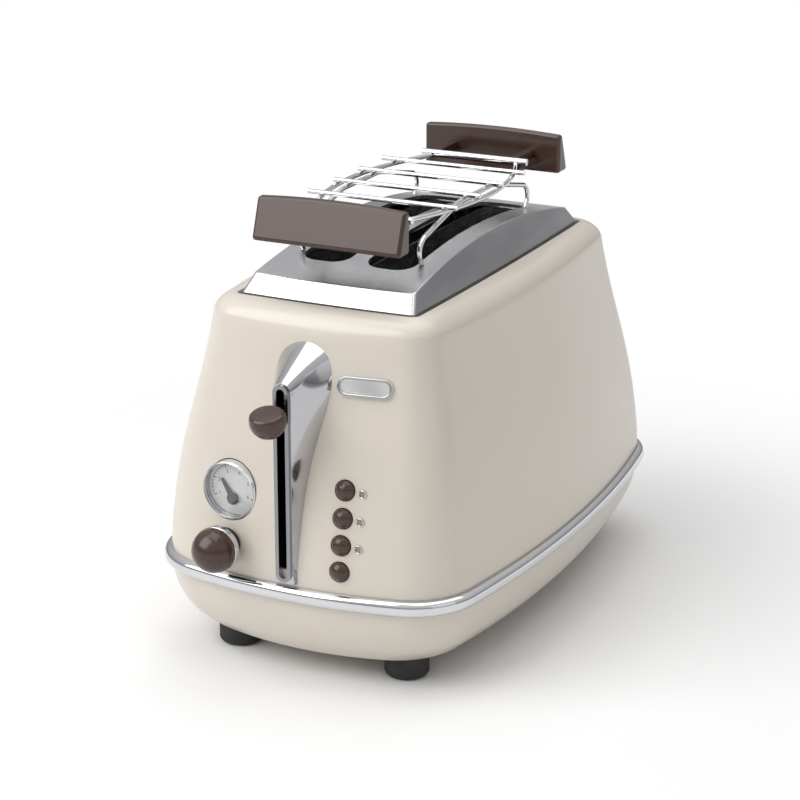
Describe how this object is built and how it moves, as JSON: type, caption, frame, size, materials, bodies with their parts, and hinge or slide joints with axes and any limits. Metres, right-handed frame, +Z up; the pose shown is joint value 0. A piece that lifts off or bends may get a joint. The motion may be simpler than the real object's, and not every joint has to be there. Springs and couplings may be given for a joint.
{
  "type": "two-slice toaster",
  "caption": "two-slice toaster with a bell-shaped painted body, chrome belt, front lever, browning gauge and lift-off warming rack",
  "frame": {"origin": "on the table, under the middle of the whole toaster, lever knob included", "axes": "+Z up, -Y out of the control face, +X to the right of someone who faces the controls"},
  "size_m": [0.1832, 0.3096, 0.2235],
  "materials": {
    "cream_paint": "gloss",
    "belt_chrome": "polished",
    "rack_chrome": "polished",
    "brushed_cover": "satin",
    "liner_steel": "satin",
    "zinc_steel": "matte",
    "reflector": "satin",
    "mica": "matte",
    "ribbon_alloy": "matte",
    "polished_rod": "polished",
    "coil": "enamelled",
    "black_plastic": "matte",
    "black_rubber": "matte",
    "dial_cream": "matte",
    "clear_glass": "clear",
    "board_green": "satin",
    "light_amber": "clear",
    "screw_steel": "satin",
    "nylon": "matte",
    "brown_plastic": "gloss",
    "spring_steel": "satin",
    "wire_steel": "satin",
    "needle_red": "satin"
  },
  "bodies": {
    "toaster_body": {"outer_shell": "cream_paint", "base_shell": "cream_paint", "belt": "belt_chrome", "top_cover": "brushed_cover", "slot_liners": "liner_steel", "rim_seal": "black_rubber", "chassis_floor": "zinc_steel", "chassis_top": "zinc_steel", "chassis_front_plate": "zinc_steel", "chassis_rear_plate": "zinc_steel", "side_reflectors": "reflector", "heater_boards": "mica", "heating_ribbons": "ribbon_alloy", "guide_rod": "polished_rod", "latch_magnet": "coil", "lever_plate": "belt_chrome", "lever_slot_frame": "belt_chrome", "badge_plate": "belt_chrome", "browning_switch": "black_plastic", "switch_bracket": "zinc_steel", "gauge_cup": "belt_chrome", "gauge_dial": "dial_cream", "gauge_glass": "clear_glass", "gauge_bezel": "belt_chrome", "button_guide": "black_plastic", "control_board": "board_green", "key_switches": "black_plastic", "light_pipes": "light_amber", "light_rings": "belt_chrome", "tray_runners": "zinc_steel", "feet": "black_rubber", "foot_screws": "screw_steel", "cover_screws": "screw_steel", "cord_gland": "black_plastic", "terminal_block": "nylon"},
    "lift": {"lift_carriage": "zinc_steel", "bread_lifts": "liner_steel", "lever_arm": "liner_steel", "lever_knob": "brown_plastic", "latch_armature": "liner_steel", "carriage_spring": "spring_steel"},
    "left_outer_guide": {"guide_left_outer": "wire_steel"},
    "left_inner_guide": {"guide_left_inner": "wire_steel"},
    "right_inner_guide": {"guide_right_inner": "wire_steel"},
    "right_outer_guide": {"guide_right_outer": "wire_steel"},
    "browning_control": {"browning_knob": "brown_plastic", "knob_ring": "belt_chrome", "browning_shaft": "black_plastic"},
    "needle": {"gauge_needle": "needle_red", "needle_gear": "nylon"},
    "bun_button": {"button_bun": "brown_plastic"},
    "defrost_button": {"button_defrost": "brown_plastic"},
    "reheat_button": {"button_reheat": "brown_plastic"},
    "cancel_button": {"button_cancel": "brown_plastic"},
    "tray": {"crumb_tray": "liner_steel"},
    "warming_rack": {"rack_bars": "rack_chrome", "rack_rails": "rack_chrome", "rack_legs": "rack_chrome", "rack_handle_front": "brown_plastic", "rack_handle_rear": "brown_plastic"}
  },
  "joints": [
    {"name": "lever_slide", "type": "slide", "parent": "toaster_body", "child": "lift", "axis": [0, 0, -1], "range_m": [-0.006, 0.07], "stiffness_N_per_m": 60, "springref_m": -0.01455, "deforming": ["carriage_spring"]},
    {"name": "left_outer_guide_slide", "type": "slide", "parent": "toaster_body", "child": "left_outer_guide", "axis": [1, 0, 0], "range_m": [-0.0004, 0.0044]},
    {"name": "left_inner_guide_slide", "type": "slide", "parent": "toaster_body", "child": "left_inner_guide", "axis": [-1, 0, 0], "range_m": [-0.0004, 0.0044]},
    {"name": "right_inner_guide_slide", "type": "slide", "parent": "toaster_body", "child": "right_inner_guide", "axis": [1, 0, 0], "range_m": [-0.0004, 0.0044]},
    {"name": "right_outer_guide_slide", "type": "slide", "parent": "toaster_body", "child": "right_outer_guide", "axis": [-1, 0, 0], "range_m": [-0.0004, 0.0044]},
    {"name": "browning_turn", "type": "hinge", "parent": "toaster_body", "child": "browning_control", "pos_m": [-0.033, -0.1402, 0.0654], "axis": [0, -1, 0], "range_deg": [-54, 186]},
    {"name": "needle_turn", "type": "hinge", "parent": "toaster_body", "child": "needle", "pos_m": [-0.033, -0.1202, 0.085], "axis": [0, -1, 0], "range_deg": [-93, 27]},
    {"name": "bun_button_push", "type": "slide", "parent": "toaster_body", "child": "bun_button", "axis": [0, 1, 0], "range_m": [0, 0.0025], "stiffness_N_per_m": 300},
    {"name": "defrost_button_push", "type": "slide", "parent": "toaster_body", "child": "defrost_button", "axis": [0, 1, 0], "range_m": [0, 0.0025], "stiffness_N_per_m": 300},
    {"name": "reheat_button_push", "type": "slide", "parent": "toaster_body", "child": "reheat_button", "axis": [0, 1, 0], "range_m": [0, 0.0025], "stiffness_N_per_m": 300},
    {"name": "cancel_button_push", "type": "slide", "parent": "toaster_body", "child": "cancel_button", "axis": [0, 1, 0], "range_m": [0, 0.0025], "stiffness_N_per_m": 300},
    {"name": "crumb_tray_slide", "type": "slide", "parent": "toaster_body", "child": "tray", "axis": [0, 1, 0], "range_m": [0, 0.19]},
    {"name": "rack_lift", "type": "slide", "parent": "toaster_body", "child": "warming_rack", "axis": [0, 0, 1], "range_m": [0, 0.12]}
  ],
  "couplings": [
    {"joint": "left_outer_guide_slide", "follows": "lever_slide", "ratio": 0.062857},
    {"joint": "left_inner_guide_slide", "follows": "lever_slide", "ratio": 0.062857},
    {"joint": "right_inner_guide_slide", "follows": "lever_slide", "ratio": 0.062857},
    {"joint": "right_outer_guide_slide", "follows": "lever_slide", "ratio": 0.062857},
    {"joint": "needle_turn", "follows": "browning_turn", "ratio": -0.5}
  ]
}
